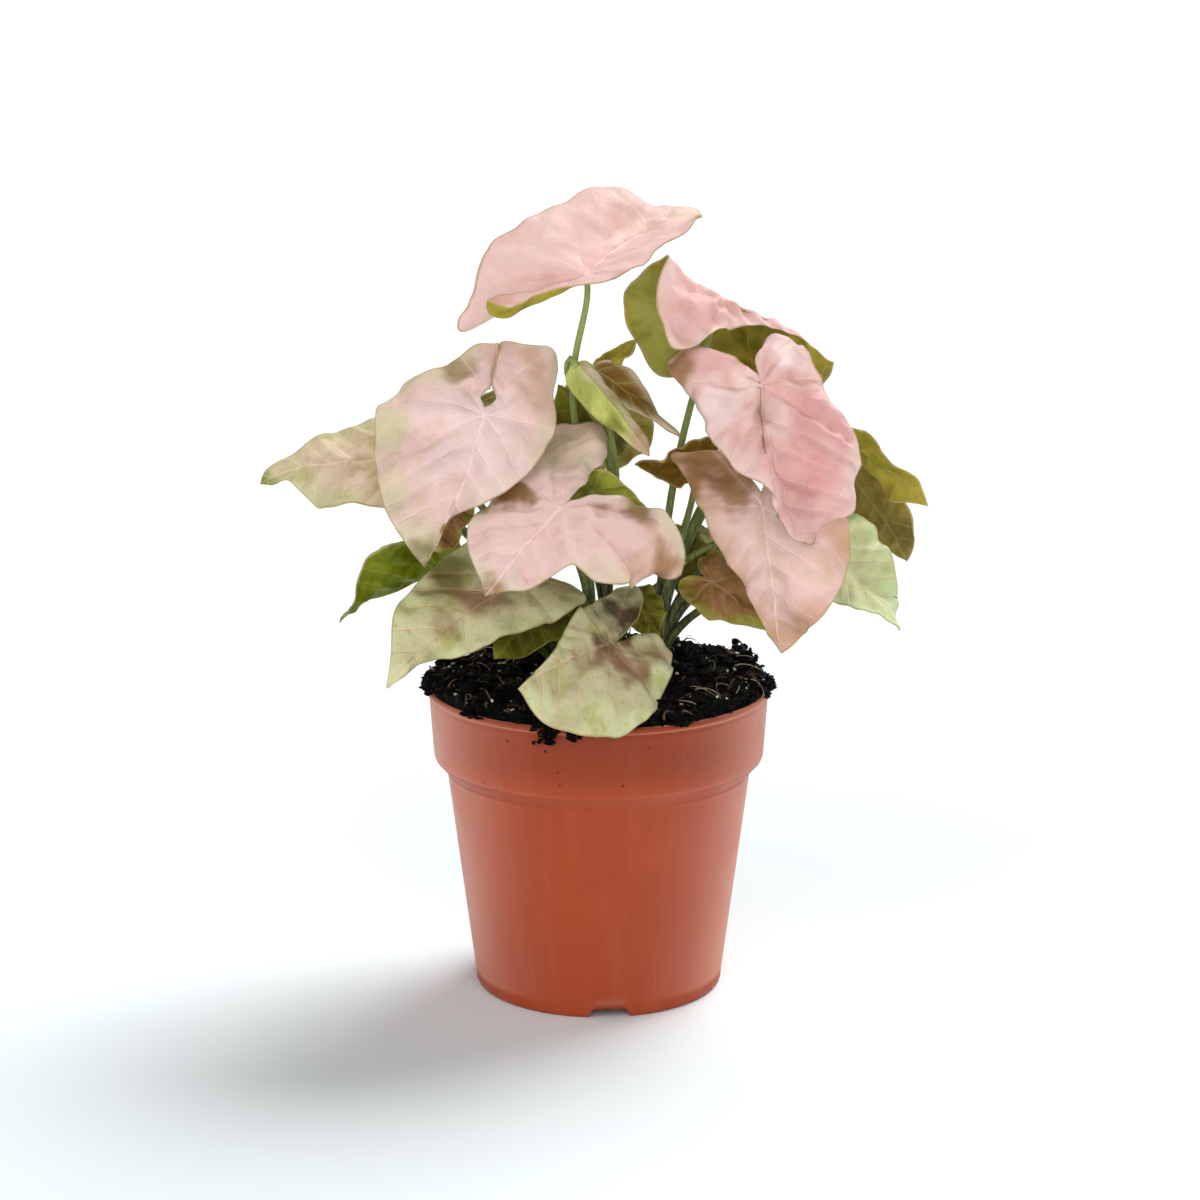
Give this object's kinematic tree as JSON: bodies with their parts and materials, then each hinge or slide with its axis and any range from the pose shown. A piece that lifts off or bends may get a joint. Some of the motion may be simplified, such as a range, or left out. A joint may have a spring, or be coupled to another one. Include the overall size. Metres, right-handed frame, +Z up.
{
  "type": "potted arrowhead plant",
  "caption": "Small arrowhead plant with pink and green arrow-shaped leaves on thin stalks, growing in a round nursery pot of peat.",
  "frame": {"origin": "centre of the plant's and pot's box at the level of the pot's foot, on the pot's axis", "axes": "+Z up along the pot's axis, -Y towards the viewer of the picture"},
  "size_m": [0.2335, 0.1499, 0.2835],
  "materials": {
    "pot_plastic": "satin moulded terracotta-orange plastic",
    "soil_peat": "dark moist peat with fibres and perlite",
    "stalk_green": "smooth semi-matt green stalk",
    "leaf_pink": "soft satin pink leaf, green at the margin",
    "leaf_rose": "soft satin rose-pink leaf",
    "leaf_tan": "soft satin tan-pink leaf",
    "leaf_pale": "soft satin pale green leaf",
    "leaf_khaki": "soft satin khaki leaf with a pink flush",
    "leaf_olive": "matt olive underside, pink upper face",
    "leaf_green": "soft satin green leaf",
    "leaf_young": "soft satin yellow-green young leaf"
  },
  "bodies": {
    "root": {"pot": "pot_plastic", "soil": "soil_peat", "crown_left": "stalk_green", "crown_middle": "stalk_green", "crown_right": "stalk_green", "crown_back": "stalk_green", "leaf_top": "leaf_pink", "leaf_left_big": "leaf_pink", "leaf_front_centre": "leaf_pink", "leaf_right_big": "leaf_rose", "leaf_right_low": "leaf_tan", "leaf_right_pale": "leaf_pale", "leaf_left_far": "leaf_tan", "leaf_left_dark": "leaf_green", "leaf_left_low": "leaf_khaki", "leaf_front_low": "leaf_khaki", "leaf_right_folded": "leaf_olive", "leaf_centre_under": "leaf_green", "leaf_right_brown": "leaf_tan", "leaf_far_right": "leaf_olive", "leaf_far_right_low": "leaf_green", "leaf_young_roll": "leaf_young", "leaf_young_back": "leaf_young", "leaf_left_small": "leaf_khaki", "leaf_low_left": "leaf_green", "leaf_centre_small": "leaf_tan", "leaf_centre_green": "leaf_green", "leaf_narrow": "leaf_tan", "leaf_low_right": "leaf_green", "leaf_deep_middle": "leaf_green", "leaf_back_left": "leaf_pink", "leaf_back_right": "leaf_pink", "leaf_back_centre": "leaf_pink", "leaf_back_low_left": "leaf_khaki", "leaf_back_low_right": "leaf_khaki"}
  },
  "joints": []
}
